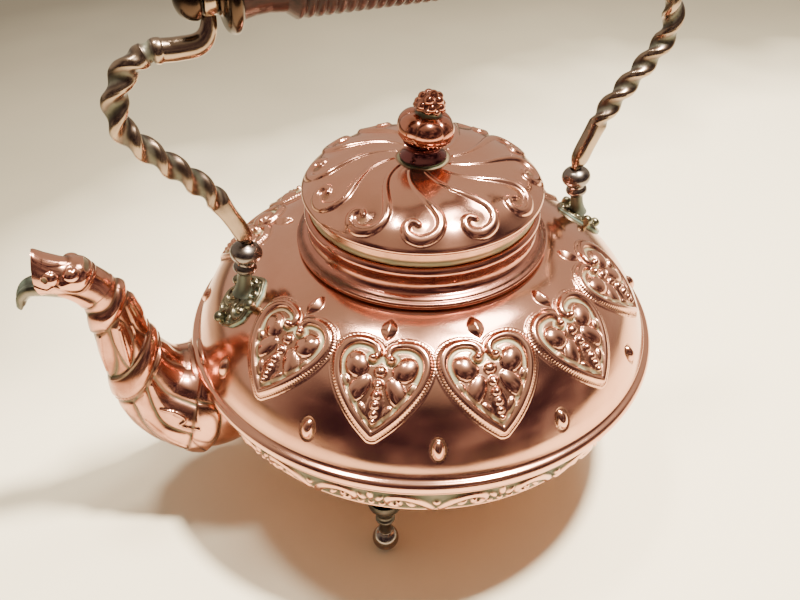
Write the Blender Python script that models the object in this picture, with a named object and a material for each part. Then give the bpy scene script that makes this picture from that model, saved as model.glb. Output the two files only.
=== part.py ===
"""Copper kettle on three ball feet, with a bird-headed spout, a lift-off lid and a fixed overhead handle.

The model is in metres with +Z up, the floor at z = 0 and the spout towards -X. The handle is set a
little askew of the spout. The numbers below are millimetres, and new_mesh scales them. A turned
profile is a list of (radius, height), and a point of the spout or the handle is (reach, height).
Heights are measured from the rim plane, where the shell meets the bowl, and reach from the kettle's
axis towards the spout, or in the handle's plane towards either arm.
"""

import math

import bmesh
import bpy
from mathutils import Matrix, Vector

MM = 0.001

# Driving dimensions
GAP = 0.3  # between pieces that touch
SHEET = 1.2  # copper sheet
RIM_R = 110.0  # the rim bead, the widest part of the body
RIM_HEIGHT = 78.0  # rim plane above the floor
SPOUT_REACH = 174.2  # tip of the beak
ARM_REACH = 123.4  # furthest point of either handle arm
HANDLE_YAW = 5.0  # degrees that the handle's plane is turned from the spout's
BOWL_R, BOWL_DEPTH, BOWL_FLAT = 105.0, 65.0, -62.5  # half ellipse, cut flat at the bottom
MOUTH_R = 51.0  # opening in the shell, under the collar
COLLAR_TOP = 66.4
SKIRT_R = 48.4  # lid skirt, inside the collar
STUD_R, STUD_HOLE_R = 2.2, 2.6  # lid knob's stud
FOOT_R, FOOT_BALL_R, FOOT_BALL_HEIGHT = 79.0, 6.2, -72.0
FOOT_AZIMUTHS = {"left_foot": -60.0, "right_foot": 60.0, "rear_foot": 180.0}  # from the spout
PLATE_R, PLATE_THICK = 85.6, 3.2  # handle plates, on the shell
BALL_COLLAR = (80.6, 61.0)  # centre of the ball under each arm
GRIP_HEIGHT = 168.0  # axis of the grip and its tie rod
GRIP_HALF, GRIP_R, GRIP_NECK_R = 52.0, 12.0, 9.0
EYE_REACH, EYE_THICK, EYE_R = 81.6, 5.0, 6.8
ROD_R, ROD_HOLE_R = 2.0, 2.4
RIDGE_PITCH, TWIST_PITCH = 3.8, 26.0

AXIS_X = (SPOUT_REACH - ARM_REACH) / 2
BODY_STEPS = 40  # sides of the body's circles

# Shell from the edge of its opening to the rim bead, outside
SHELL = [(MOUTH_R, 49.2), (58, 48.9), (68, 46.4), (78, 41.8), (87, 35.6), (94.4, 28.6),
         (100.2, 20.4), (104, 12.8), (106, 7.6)]
BEAD = [(107, 5.9), (109, 5.2), (RIM_R, 3.6), (RIM_R, 1.8), (109.2, GAP)]

# Spout: reach, height, half depth and half width of its oval section, root to mouth
SPOUT = [(80, -19, 19, 17), (94, -20, 25, 22), (107, -19.5, 27.5, 24.5), (118.4, -16, 24.5, 22),
         (128.6, -6, 18.5, 17.5), (134.2, 8, 14.2, 14), (137, 22, 11.8, 11.6), (139, 36, 10, 9.8),
         (141.6, 48.5, 9, 8.6), (148.6, 57.6, 8.4, 8), (156.6, 61.6, 8.2, 7.6), (162, 63.4, 9.6, 7.2),
         (165.4, 64.6, 9.4, 6.6)]
BREAST_TO_NECK, NECK_TO_HEAD = 5.0, 8.2  # where along that list the spout's pieces meet
BEAK = [(155, 56.8, 3.6), (163, 57, 4.2), (168.8, 57.2, 3.8), (172.2, 54, 2.5), (173, 48.2, 0.9)]

# Handle arm: reach, height and half thickness, from its tenon up to the eye
ARM = [(82.3, 52, 2.4), (81.4, 57, 2.4), (80.4, 62, 2.4), (79.9, 66.4, 2.4), (81, 70.6, 3.9),
       (84.4, 79, 4), (90.8, 91.6, 4), (100.2, 103, 4), (111, 114.8, 4), (118, 124.4, 4),
       (118.8, 135, 4), (113.6, 145.4, 4), (104.8, 151, 4.2), (94.6, 151, 4.2), (87, 151.6, 4),
       (83, 155.6, 3.2), (EYE_REACH, 163.6, 2.2)]
TWIST_FROM, TWIST_TO = 5.3, 11.7  # where along that list the bar is twisted


def material(name, colour, metallic, roughness):
    made = bpy.data.materials.new(name)
    made.use_nodes = True
    shader = made.node_tree.nodes["Principled BSDF"]
    shader.inputs["Base Color"].default_value = (*colour, 1)
    shader.inputs["Metallic"].default_value = metallic
    shader.inputs["Roughness"].default_value = roughness
    made.diffuse_color = (*colour, 1)
    return made


def spline(points, t):
    """The point at t of a smooth curve through the points, where t counts points from 0."""
    last = len(points) - 1
    i = min(max(int(t), 0), last - 1)
    u = t - i
    a, b, c, d = (points[min(max(k, 0), last)] for k in (i - 1, i, i + 1, i + 2))
    weights = (-u + 2 * u**2 - u**3, 2 - 5 * u**2 + 3 * u**3, u + 4 * u**2 - 3 * u**3, u**3 - u**2)
    return tuple(sum(w * v for w, v in zip(weights, values)) / 2 for values in zip(a, b, c, d))


def offset(profile, distance):
    """A profile moved out by a distance. It runs down the outside of its piece."""
    moved = []
    for i, (r, z) in enumerate(profile):
        before, after = profile[max(i - 1, 0)], profile[min(i + 1, len(profile) - 1)]
        along = Vector((after[0] - before[0], after[1] - before[1])).normalized()
        out = Vector((-along.y, along.x)) * distance
        moved.append((0 if r == 0 else r + out.x, z + out.y))
    return moved


def new_mesh(name, points, faces, finish, parent, helper=False):
    """An object from points in millimetres, with its faces turned out. A helper isn't part of the kettle."""
    mesh = bpy.data.meshes.new(name)
    mesh.from_pydata([Vector(p) * MM for p in points], [], faces)
    shaped = bmesh.new()
    shaped.from_mesh(mesh)
    bmesh.ops.recalc_face_normals(shaped, faces=shaped.faces)
    shaped.to_mesh(mesh)
    shaped.free()
    mesh.shade_smooth()
    mesh.set_sharp_from_angle(angle=math.radians(40))
    mesh.materials.append(finish)
    made = bpy.data.objects.new(name, mesh)
    bpy.context.scene.collection.objects.link(made)
    made.parent = parent
    if helper:
        made.hide_render = True
        made.display_type = "WIRE"
    return made


def place(made, location, axis=(0, 0, 1)):
    """Moves an object to a place under its parent, with its own Z along an axis."""
    turn = Vector((0, 0, 1)).rotation_difference(Vector(axis)).to_matrix().to_4x4()
    made.matrix_local = Matrix.Translation(Vector(location) * MM) @ turn
    return made


def rings(name, loops, finish, parent, joined=False, helper=False):
    """A skin over loops of points, each a ring or a single point. It is capped, or joined end to start."""
    points, rows = [], []
    for loop in loops:
        rows.append(range(len(points), len(points) + len(loop)))
        points += loop
    faces = []
    pairs = list(zip(rows, rows[1:] + ([rows[0]] if joined else [])))
    for a, b in pairs:
        count = max(len(a), len(b))
        for k in range(count):
            corners = [a[k % len(a)], a[(k + 1) % len(a)], b[(k + 1) % len(b)], b[k % len(b)]]
            faces.append(list(dict.fromkeys(corners)))
    if not joined:
        faces += [list(row) for row in (rows[0], rows[-1]) if len(row) > 2]
    return new_mesh(name, points, faces, finish, parent, helper)


def circle(radius, height, steps):
    """A ring of points about Z. The radius is a number, or a function of the angle."""
    angles = [2 * math.pi * k / steps for k in range(steps)]
    radii = [radius(a) if callable(radius) else radius for a in angles]
    return [(r * math.cos(a), r * math.sin(a), height) for r, a in zip(radii, angles)]


def turned(name, profile, finish, parent, steps=32, helper=False):
    """A turned piece. Its profile ends on the axis at both ends, or goes round a ring and closes."""
    loops = [[(0, 0, z)] if r == 0 else circle(r, z, steps) for r, z in profile]
    solid = profile[0][0] == 0 and profile[-1][0] == 0
    return rings(name, loops, finish, parent, joined=not solid, helper=helper)


def boolean(made, other, operation="DIFFERENCE"):
    step = made.modifiers.new(f"{operation} {other.name}", "BOOLEAN")
    step.operation = operation
    step.object = other
    step.solver = "EXACT"


def steps_between(start, end, count):
    return [start + (end - start) * k / count for k in range(count + 1)]


def swept(name, points, stations, section, finish, parent, side=1, helper=False):
    """A capped skin along the spline of some points in the plane of the spout and handle.

    section gives a ring's (in, across) points from its number and the spline's values there.
    """
    loops = []
    for i, t in enumerate(stations):
        here, before, after = (spline(points, t + shift) for shift in (0, -0.01, 0.01))
        along = Vector((after[0] - before[0], 0, after[1] - before[1])).normalized()
        inward = Vector((-along.z, 0, along.x))
        centre = Vector((here[0], 0, here[1]))
        loop = [centre + inward * u + Vector((0, v, 0)) for u, v in section(i, here)]
        loops.append([(-side * p.x, p.y, p.z) for p in loop])
    return rings(name, loops, finish, parent, helper=helper)


def oval(half_in, half_across, steps, turn=0.0):
    """Points of an oval, turned about its centre."""
    points = []
    for k in range(steps):
        a = 2 * math.pi * k / steps
        u, v = half_in * math.cos(a), half_across * math.sin(a)
        points.append((u * math.cos(turn) - v * math.sin(turn), u * math.sin(turn) + v * math.cos(turn)))
    return points


def bowl_profile():
    """The bowl's outside below its flange, down to the middle of its flat bottom."""
    end = math.asin(-BOWL_FLAT / BOWL_DEPTH)
    angles = steps_between(math.radians(3), end, 7)
    return [(BOWL_R * math.cos(a), -BOWL_DEPTH * math.sin(a)) for a in angles] + [(0, BOWL_FLAT)]


def body_envelope(clearance, parent, finish):
    """A solid that holds the shell and the bowl with a clearance all over, for cutting what sits on them."""
    outside = [(0, 49.2), *SHELL, *BEAD[:-1], (RIM_R, -1.4), (105.6, -2.2), *bowl_profile()]
    name = f"body_envelope_{clearance:.1f}".replace(".", "_")
    return turned(name, offset(outside, clearance), finish, parent, BODY_STEPS, helper=True)


def shell_frame(radius, azimuth, height):
    """A place above the shell's surface and the direction out of it. Azimuth 0 is the spout's, in degrees."""
    for (r0, z0), (r1, z1) in zip(SHELL, SHELL[1:]):
        if r0 <= radius <= r1:
            z = z0 + (z1 - z0) * (radius - r0) / (r1 - r0)
            out = Vector((z0 - z1, r1 - r0)).normalized()
    a = math.radians(180 - azimuth)
    around = Vector((math.cos(a), math.sin(a), 0))
    normal = around * out.x + Vector((0, 0, out.y))
    return around * radius + Vector((0, 0, z)) + normal * height, normal


def make_body(kettle, copper):
    """The shell and the bowl, each one spun sheet, and the collar that the lid sits in."""
    inside = offset(SHELL, -SHEET)
    turned("upper_shell", [*SHELL, *BEAD, (104.2, GAP), *reversed(inside)], copper, kettle, BODY_STEPS)

    outside = bowl_profile()
    inside = offset(outside, -SHEET)
    flange = [(103.6, 0), (108.6, 0), (108.6, -1.3), (105.3, -1.6)]
    bowl = turned("lower_bowl", [*reversed(inside), *flange, *outside], copper, kettle, BODY_STEPS)
    drain = rings("spout_hole", [circle(13, -30, 24), circle(13, 30, 24)], copper, kettle, helper=True)
    boolean(bowl, place(drain, (-95, 0, -19), (1, 0, 0)))

    seat = 49.2 + GAP
    outer = [(49.4, COLLAR_TOP), (51, COLLAR_TOP), (52.3, 64.8), (52.1, 62.5), (50.8, 61.2), (50.7, 57.6),
             (52, 54.6), (55.4, 53.2), (56.4, 51.4), (55.4, seat), (MOUTH_R - GAP, seat), (MOUTH_R - GAP, 46.8)]
    inner = [(49.4, 46.8), (49.4, 50.6), (54.4, 51.2), (51, 53.8), (49.5, 57.6), (49.5, 61.6), (51, 63.6),
             (50.4, 65.2), (49.4, 65.2)]
    turned("neck_collar", outer + inner, copper, kettle, 32)


def make_feet(kettle, brass, envelope):
    """Ball feet on waisted stems. Each pad follows the bowl, and each ball has a flat to stand on."""
    flat = -RIM_HEIGHT - FOOT_BALL_HEIGHT
    start = math.asin(flat / FOOT_BALL_R)
    arc = steps_between(start, math.radians(62), 6)
    ball = [(FOOT_BALL_R * math.cos(a), FOOT_BALL_HEIGHT + FOOT_BALL_R * math.sin(a)) for a in arc]
    stem = [(3, -65.4), (2.6, -62), (2.8, -57), (4, -52), (6.4, -48.4), (8, -46.6), (8, -30)]
    profile = [(0, -30), *reversed(stem), *reversed(ball), (0, -RIM_HEIGHT)]
    for name, azimuth in FOOT_AZIMUTHS.items():
        foot = turned(name, profile, brass, kettle, 12)
        a = math.radians(180 - azimuth)
        place(foot, (FOOT_R * math.cos(a), FOOT_R * math.sin(a), 0))
        boolean(foot, envelope)


def spout_loft(name, start, end, thinner, finish, parent, helper=False):
    """A length of the spout's oval form, between two places along its list."""
    stations = steps_between(start, end, math.ceil((end - start) * 2))

    def section(_, here):
        return oval(here[2] - thinner, here[3] - thinner, 16)

    return swept(name, SPOUT, stations, section, finish, parent, helper=helper)


def make_spout(kettle, copper, envelope):
    """Breast, neck and head, hollow all through. The breast fits round the rim, and the beak is the lip."""
    channel = spout_loft("spout_channel", 0, len(SPOUT) - 1, SHEET, copper, kettle, helper=True)
    half_gap = 0.011
    breast = spout_loft("spout_breast", 0.3, BREAST_TO_NECK - half_gap, 0, copper, kettle)
    neck = spout_loft("spout_neck", BREAST_TO_NECK + half_gap, NECK_TO_HEAD - half_gap, 0, copper, kettle)
    head = spout_loft("spout_head", NECK_TO_HEAD + half_gap, len(SPOUT) - 1.15, 0, copper, kettle)

    stations = steps_between(0, len(BEAK) - 1, 10)
    beak = swept("beak", BEAK, stations, lambda _, here: oval(here[2], here[2], 10), copper, kettle, helper=True)
    boolean(head, beak, "UNION")
    boolean(breast, envelope)
    for piece in (breast, neck, head):
        boolean(piece, channel)


def make_lid(lid, copper, iron):
    """Dome, skirt and the knob, which a stud, a washer and a nut hold to the dome."""
    dome = [(STUD_HOLE_R, 88.7), (12, 88.7), (22, 88.2), (32, 86.8), (40, 84.6), (46.6, 81.4), (51.6, 77.4)]
    roll = [(52.8, 75.8), (52.8, 74.8), (52, 74.2), (51, 74.3), (50.7, 75.2)]
    turned("lid_dome", [*dome, *roll, *reversed(offset(dome[::2], -SHEET))], copper, lid, 36)

    seat = COLLAR_TOP + GAP
    skirt = [(50.2, 76), (50.2, seat), (SKIRT_R, seat), (SKIRT_R, 52), (47.2, 52), (47.2, 67.4), (49, 69), (49, 76)]
    turned("lid_skirt", skirt, copper, lid, 32)

    hole = STUD_HOLE_R
    spool = [(hole, 89), (11.3, 89), (11.3, 90.2), (9.4, 91.6), (8, 93.4), (8, 95), (9, 96.2), (9, 96.8),
             (hole, 96.8)]
    turned("knob_spool", spool, iron, lid, 20)
    bulb = [(hole, 97.1), (6, 97.1), (9.8, 98.4), (12.2, 100.6), (12.8, 102.8), (12, 105.6), (9.4, 107.8),
            (5.6, 109), (hole, 109)]
    turned("knob_bulb", bulb, copper, lid, 20)
    finial = [(0, 119.4), (2.6, 119), (5.2, 117.4), (6.5, 114.8), (5.8, 112.2), (4.4, 110.6), (4.2, 109.3),
              (hole, 109.3), (hole, 115), (0, 115)]
    turned("knob_finial", finial, copper, lid, 16)
    turned("knob_stud", [(0, 114.6), (STUD_R, 114.6), (STUD_R, 81.4), (0, 81.4)], iron, lid, 12)
    turned("knob_washer", [(hole, 87.2), (6, 87.2), (6, 86.2), (hole, 86.2)], iron, lid, 16)

    def hexagon(a):
        return 4 / math.cos(a % (math.pi / 3) - math.pi / 6)

    corners = [(hole, 85.9), (hexagon, 85.9), (hexagon, 82.7), (hole, 82.7)]
    rings("knob_nut", [circle(radius, z, 12) for radius, z in corners], iron, lid, joined=True)


def make_plate(end, side, handle, brass, cutters):
    """A cast plate that follows the shell, the rivets through both, and the ball collar that stands on it."""
    azimuth = 0 if side > 0 else 180
    floor, top, clear = cutters
    centre, normal = shell_frame(PLATE_R, azimuth, 0)

    def outline(a):
        return 11.6 + 1.5 * math.cos(2 * a) + 0.9 * math.cos(5 * a)

    loops = [circle(outline, height, 30) for height in (-8, 8)]
    plate = place(rings(f"{end}_plate", loops, brass, handle), centre, normal)
    boolean(plate, floor)
    boolean(plate, top, "INTERSECT")

    rivets = {"outer": (94, 0), "left": (83, -6.4 * side), "right": (83, 6.4 * side)}
    for where, (radius, turn) in rivets.items():
        place_on, out = shell_frame(radius, azimuth + turn, 0)
        shaft = [circle(1.7, -6, 8), circle(1.7, 6, 8)]
        hole = rings(f"{end}_{where}_rivet_hole", shaft, brass, handle, helper=True)
        place(hole, place_on, out)
        boolean(plate, hole)
        boolean(bpy.data.objects["upper_shell"], hole)
        head = PLATE_THICK + 2 * GAP
        tail = -SHEET - 2 * GAP
        profile = [(0, head + 1.4), (1.6, head + 1), (2.5, head), (1.3, head), (1.3, tail), (2.3, tail),
                   (2.3, tail - 0.8), (0, tail - 0.8)]
        place(turned(f"{end}_{where}_rivet", profile, brass, handle, 8), place_on, out)

    foot, ball = Vector((side * -84.8, 0, 38)), Vector((side * -BALL_COLLAR[0], 0, BALL_COLLAR[1]))
    at = (ball - foot).length
    arc = steps_between(math.radians(64), math.radians(-54), 6)
    profile = [(0, at - 11), (2.8, at - 11), (2.8, at + 4.6),
               *((6.6 * math.cos(a), at + 4.9 * math.sin(a)) for a in arc),
               (3.8, at - 5.4), (4.8, at - 7), (4.8, at - 8.6), (3.6, at - 10.2), (4.2, at - 14),
               (6.4, at - 18), (6.4, at - 24), (0, at - 24)]
    collar = turned(f"{end}_ball_collar", profile, brass, handle, 14)
    boolean(place(collar, foot, ball - foot), clear)


def make_arm(end, side, handle, steel):
    """One bar from its tenon in the ball collar to an eye on the tie rod. It is twisted up its outer bend."""
    stations = steps_between(0, len(ARM) - 1, 3 * (len(ARM) - 1))
    turns = [0.0]
    for before, after in zip(stations, stations[1:]):
        twisted = TWIST_FROM <= before <= TWIST_TO
        step = math.dist(spline(ARM, before)[:2], spline(ARM, after)[:2]) if twisted else 0
        turns.append(turns[-1] + side * 2 * math.pi * step / TWIST_PITCH)

    def section(i, here):
        ease = min(max((stations[i] - TWIST_FROM) * 2, 0), max((TWIST_TO - stations[i]) * 2, 0), 1)
        half = here[2]
        return oval(half + 1.1 * ease, half - 1.1 * ease, 8, turns[i])

    arm = swept(f"{end}_arm", ARM, stations, section, steel, handle, side)
    half = EYE_THICK / 2
    bevel = EYE_R - 0.6
    profile = [(0, half), (bevel, half), (EYE_R, half - 0.6), (EYE_R, 0.6 - half), (bevel, -half), (0, -half)]
    place_on = (-side * EYE_REACH, 0, GRIP_HEIGHT)
    eye = place(turned(f"{end}_eye", profile, steel, handle, 16, helper=True), place_on, (1, 0, 0))
    boolean(arm, eye, "UNION")
    shaft = [circle(ROD_HOLE_R, -9, 12), circle(ROD_HOLE_R, 9, 12)]
    hole = rings(f"{end}_eye_hole", shaft, steel, handle, helper=True)
    boolean(arm, place(hole, place_on, (1, 0, 0)))


def make_grip(handle, wood, brass, steel):
    """A ridged wooden barrel between two ferrules, all threaded on the tie rod and held by its ball nuts."""
    middle = (0, 0, GRIP_HEIGHT)
    ridges = int(2 * GRIP_HALF / RIDGE_PITCH)
    pitch = 2 * GRIP_HALF / ridges
    outside = []
    for k in range(2 * ridges + 1):
        along = GRIP_HALF - k * pitch / 2
        swell = 0.5 * (1 - (along / GRIP_HALF) ** 2)
        outside.append((GRIP_R - 0.5 + swell - (0.9 if k % 2 == 0 else 0), along))
    necks = [(ROD_HOLE_R, 71.2), (GRIP_NECK_R + 0.6, 71.2), (GRIP_NECK_R - 0.4, 64), (GRIP_NECK_R, 56)]
    barrel = [*necks, *outside, *((r, -z) for r, z in reversed(necks))]
    place(turned("grip_barrel", barrel, wood, handle, 12), middle, (1, 0, 0))

    rod = [(0, 90), (ROD_R, 90), (ROD_R, -90), (0, -90)]
    place(turned("tie_rod", rod, steel, handle, 12), middle, (1, 0, 0))
    for end, side in (("front", -1), ("rear", 1)):
        ferrule = [(ROD_HOLE_R, 71.5), (11, 71.5), (13.4, 72.3), (14.2, 73.8), (14, 75.4), (12.4, 76.8),
                   (8, 77.4), (7, 78.7), (ROD_HOLE_R, 78.7)]
        place(turned(f"{end}_ferrule", ferrule, brass, handle, 18), middle, (side, 0, 0))
        ball_nut = [(0, 90.4), (ROD_HOLE_R, 90.4), (ROD_HOLE_R, 84.6), (6.2, 84.6), (7.6, 85.5), (8, 87.2),
                    (7.2, 89.8), (5, 92.2), (2.6, 93.2), (0, 93.4)]
        place(turned(f"{end}_ball_nut", ball_nut, steel, handle, 16), middle, (side, 0, 0))


def main():
    for old in list(bpy.data.objects):
        bpy.data.objects.remove(old)
    copper = material("copper", (0.76, 0.40, 0.28), 1, 0.22)
    brass = material("aged_brass", (0.42, 0.36, 0.24), 1, 0.42)
    steel = material("handle_metal", (0.34, 0.28, 0.22), 1, 0.36)
    wood = material("dark_wood", (0.16, 0.06, 0.035), 0, 0.4)
    iron = material("dark_metal", (0.1, 0.06, 0.055), 1, 0.4)

    kettle = bpy.data.objects.new("kettle", None)
    kettle.location = Vector((AXIS_X, 0, RIM_HEIGHT)) * MM
    lid = bpy.data.objects.new("lid", None)
    lid.parent = kettle
    handle = bpy.data.objects.new("handle", None)
    handle.parent = kettle
    handle.rotation_euler.z = math.radians(HANDLE_YAW)
    for empty in (kettle, lid, handle):
        bpy.context.scene.collection.objects.link(empty)

    envelope = body_envelope(GAP, kettle, copper)
    plate_top = body_envelope(GAP + PLATE_THICK, kettle, copper)
    on_plate = body_envelope(2 * GAP + PLATE_THICK, kettle, copper)
    make_body(kettle, copper)
    make_feet(kettle, brass, envelope)
    make_spout(kettle, copper, envelope)
    make_lid(lid, copper, iron)
    for end, side in (("front", 1), ("rear", -1)):
        make_plate(end, side, handle, brass, (envelope, plate_top, on_plate))
        make_arm(end, side, handle, steel)
    make_grip(handle, wood, brass, steel)


main()
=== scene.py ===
"""Looks of the copper kettle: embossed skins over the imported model, finishes, light and camera.

Lengths are in millimetres from the kettle's axis and its rim plane, until to_model moves them into
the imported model's frame. A turned profile is a list of (radius, height) that runs down its outside.
A place on the spout or the handle is (reach, height). A relief is drawn in (across, down) on the
surface it stands on.
"""

import math

import bpy
import numpy as np
from mathutils import Matrix, Vector


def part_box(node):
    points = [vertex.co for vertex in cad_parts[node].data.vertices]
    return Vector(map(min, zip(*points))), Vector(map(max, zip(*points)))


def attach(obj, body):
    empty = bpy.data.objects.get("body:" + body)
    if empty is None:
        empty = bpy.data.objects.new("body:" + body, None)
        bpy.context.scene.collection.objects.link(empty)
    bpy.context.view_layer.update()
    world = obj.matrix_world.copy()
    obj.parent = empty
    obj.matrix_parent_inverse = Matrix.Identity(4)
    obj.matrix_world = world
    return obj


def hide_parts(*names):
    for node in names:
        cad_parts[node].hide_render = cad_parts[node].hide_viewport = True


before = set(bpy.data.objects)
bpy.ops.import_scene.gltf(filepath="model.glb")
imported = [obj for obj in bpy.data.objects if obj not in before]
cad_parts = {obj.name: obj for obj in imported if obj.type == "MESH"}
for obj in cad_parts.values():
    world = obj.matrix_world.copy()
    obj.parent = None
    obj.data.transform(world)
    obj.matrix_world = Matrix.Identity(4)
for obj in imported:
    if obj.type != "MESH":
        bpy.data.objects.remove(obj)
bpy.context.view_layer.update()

SEAM_GAP = 0.3  # how far over the rim plane the shell starts
HANDLE_YAW = 5.0
KNOB_LEAN = 9.0
SECTOR = math.radians(30)
SHELL_COLUMNS, LID_COLUMNS = 120, 72  # to a sector
LID_PHASE = math.radians(-111.3)
BERRY_ROWS, BERRY_COLUMNS = 12, 20

dome_low, dome_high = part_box("lid_dome")
AXIS = np.array([(dome_low[0] + dome_high[0]) / 2, 0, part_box("upper_shell")[0][2] - SEAM_GAP / 1000])

SHELL = [(51, 49.2), (58, 48.9), (68, 46.4), (78, 41.8), (87, 35.6), (94.4, 28.6), (100.2, 20.4),
         (104, 12.8), (106, 7.6), (107, 5.9), (109, 5.2), (110, 3.6), (110, 1.8), (109.2, 0.3)]
# Along the spout: reach, height, half its depth in side view and half its width.
SPOUT = [(80, -19, 19, 17), (94, -20, 25, 22), (107, -19.5, 27.5, 24.5), (118.4, -16, 24.5, 22),
         (128.6, -6, 18.5, 17.5), (134.2, 8, 14.2, 14), (137, 22, 11.8, 11.6), (139, 36, 10, 9.8),
         (141.6, 48.5, 9, 8.6), (148.6, 57.6, 8.4, 8), (156.6, 61.6, 8.2, 7.6), (162, 63.4, 9.6, 7.2),
         (165.4, 64.6, 9.4, 6.6)]
# Along a handle bar: reach, height and half its thickness.
ARM = [(82.3, 52, 2.4), (81.4, 57, 2.4), (80.4, 62, 2.4), (79.9, 66.4, 2.4), (81, 70.6, 3.9),
       (84.4, 79, 4), (90.8, 91.6, 4), (100.2, 103, 4), (111, 114.8, 4), (118, 124.4, 4),
       (118.8, 135, 4), (113.6, 145.4, 4), (104.8, 151, 4.2), (94.6, 151, 4.2), (87, 151.6, 4),
       (83, 155.6, 3.2), (81.6, 163.6, 2.2)]
TWIST_FROM, TWIST_TO, NECK_GROOVE, NECK_BEAD = 5.65, 11.6, 12.05, 12.35  # in points of ARM
TWIST_PITCH = 23.6
GRIP_HEIGHT, GRIP_HALF = 168.0, 71.2
BOWL_R, BOWL_DEPTH = 105, 65
FOOT_R, FOOT_BALL_R, FOOT_BALL_HEIGHT = 79, 6.2, -72
HEART_TOP_R, LEAF_R, STUD_R, PLATE_R = 66.0, 66.2, 101.8, 85.6  # where they are on the shell


def to_model(points):
    return np.asarray(points, float) * 0.001 + AXIS


def yawed(points):
    """Moves points from the spout's plane to the handle's."""
    a = math.radians(HANDLE_YAW)
    turn = np.array([[math.cos(a), -math.sin(a), 0], [math.sin(a), math.cos(a), 0], [0, 0, 1]])
    return points @ turn.T


def aimed(points, location, axis):
    """Moves points from the Z axis to an axis through a location."""
    turn = np.array(Vector((0, 0, 1)).rotation_difference(Vector(axis)).to_matrix())
    return points @ turn.T + np.array(location, float)


def spline(points, t):
    """Places at t along a smooth curve through the points, where t counts points from 0."""
    p = np.asarray(points, float)
    t = np.asarray(t, float)
    i = np.clip(t.astype(int), 0, len(p) - 2)
    u = (t - i)[..., None]
    a, b, c, d = (p[np.clip(i + k, 0, len(p) - 1)] for k in (-1, 0, 1, 2))
    first = 2 * b + u * (c - a) + u**2 * (2 * a - 5 * b + 4 * c - d)
    return (first + u**3 * (3 * b - a - 3 * c + d)) / 2


def curve(points, spacing):
    """A smooth line through the points, with places an even spacing apart."""
    dense = spline(points, np.linspace(0, len(points) - 1, 40 * len(points)))
    run = np.concatenate([[0], np.cumsum(np.linalg.norm(np.diff(dense[:, :2], axis=0), axis=1))])
    wanted = np.linspace(0, run[-1], max(int(run[-1] / spacing), 2) + 1)
    return np.stack([np.interp(wanted, run, column) for column in dense.T], axis=1)


def runs(line):
    """How far along a line each of its points is."""
    return np.concatenate([[0], np.cumsum(np.linalg.norm(np.diff(line, axis=0), axis=1))])


def near(line, s, t):
    """Distance of each place from a line, and how far along the line its nearest point is."""
    best, run, start = np.full(s.shape, 1e9), np.zeros(s.shape), 0
    for (x0, y0), (x1, y1) in zip(line, line[1:]):
        dx, dy = x1 - x0, y1 - y0
        length = math.hypot(dx, dy)
        k = np.clip(((s - x0) * dx + (t - y0) * dy) / length**2, 0, 1)
        ex, ey = s - x0 - k * dx, t - y0 - k * dy
        d = np.hypot(ex, ey)
        closer = d < best
        best = np.where(closer, d, best)
        run = np.where(closer, start + k * length, run)
        start += length
    return best, run


def inside(line, s, t):
    """Which places are inside a closed outline."""
    odd = np.zeros(s.shape, bool)
    for (x0, y0), (x1, y1) in zip(line, [*line[1:], line[0]]):
        if y0 != y1:
            odd ^= ((y0 > t) != (y1 > t)) & (s < (x1 - x0) * (t - y0) / (y1 - y0) + x0)
    return odd


def bump(q, height, power=0.6):
    """A rounded swelling, where q runs from 0 at its middle to 1 at its edge."""
    return height * np.clip(1 - np.asarray(q) ** 2, 0, 1) ** power


def oval(s, t, centre, half_s, half_t, height, turn=0.0, power=0.6):
    """A swelling with an oval outline. Its turn is in degrees."""
    a = math.radians(turn)
    x, y = s - centre[0], t - centre[1]
    x, y = x * math.cos(a) + y * math.sin(a), y * math.cos(a) - x * math.sin(a)
    return bump(np.hypot(x / half_s, y / half_t), height, power)


def almond(s, t, centre, half_s, half_t, height):
    """A ridged swelling that is pointed at both ends."""
    y = np.clip((t - centre[1]) / half_t, -1, 1)
    width = half_s * (1 - y**2) + 1e-6
    return np.clip(1 - np.abs(s - centre[0]) / width, 0, 1) ** 0.8 * height * (1 - y**2) ** 0.4


def step(x, low, high):
    """Rises smoothly from 0 at low to 1 at high."""
    u = np.clip((x - low) / (high - low), 0, 1)
    return u * u * (3 - 2 * u)


def hollows(height, reach=4, scale=0.5):
    """How far each place lies below what is around it, from 0 to 1."""
    around = height.copy()
    for _ in range(reach):
        for axis in (0, 1):
            around = (np.roll(around, 1, axis) + around + np.roll(around, -1, axis)) / 3
    return np.clip((around - height) / scale, 0, 1)


def quads(index):
    """The faces between the rows and columns of a grid of indices."""
    corners = [index[:-1, :-1], index[:-1, 1:], index[1:, 1:], index[1:, :-1]]
    return np.stack(corners, axis=-1).reshape(-1, 4)


def skin(name, grid, finish, body, nodes, around=True, recess=None, keep=None):
    """A smooth skin over rows of points, with its faces turned out.

    around joins the last column to the first. recess marks how deep each place lies in the relief,
    for the finish, and on the plates it also holds a painted highlight; keep says which places are
    wanted.
    """
    rows, columns = grid.shape[:2]
    index = np.arange(rows * columns).reshape(rows, columns)
    if around:
        index = np.concatenate([index, index[:, :1]], axis=1)
    faces = quads(index)
    points = grid.reshape(-1, 3)
    marks = np.broadcast_to(0.0 if recess is None else recess, grid.shape[:2]).reshape(-1)
    if keep is not None:
        faces = faces[keep.reshape(-1)[faces].any(axis=1)]
    used, faces = np.unique(faces, return_inverse=True)
    faces, points, marks = faces.reshape(-1, 4), points[used], marks[used]
    middle = points.mean(axis=0)
    a, b, c, d = (points[faces[:, k]] - middle for k in range(4))
    if (np.cross(c - a, d - b) * (a + b + c + d)).sum() < 0:
        faces = faces[:, ::-1]
    mesh_piece(name, points, faces.tolist(), finish, body, nodes, marks)


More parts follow.
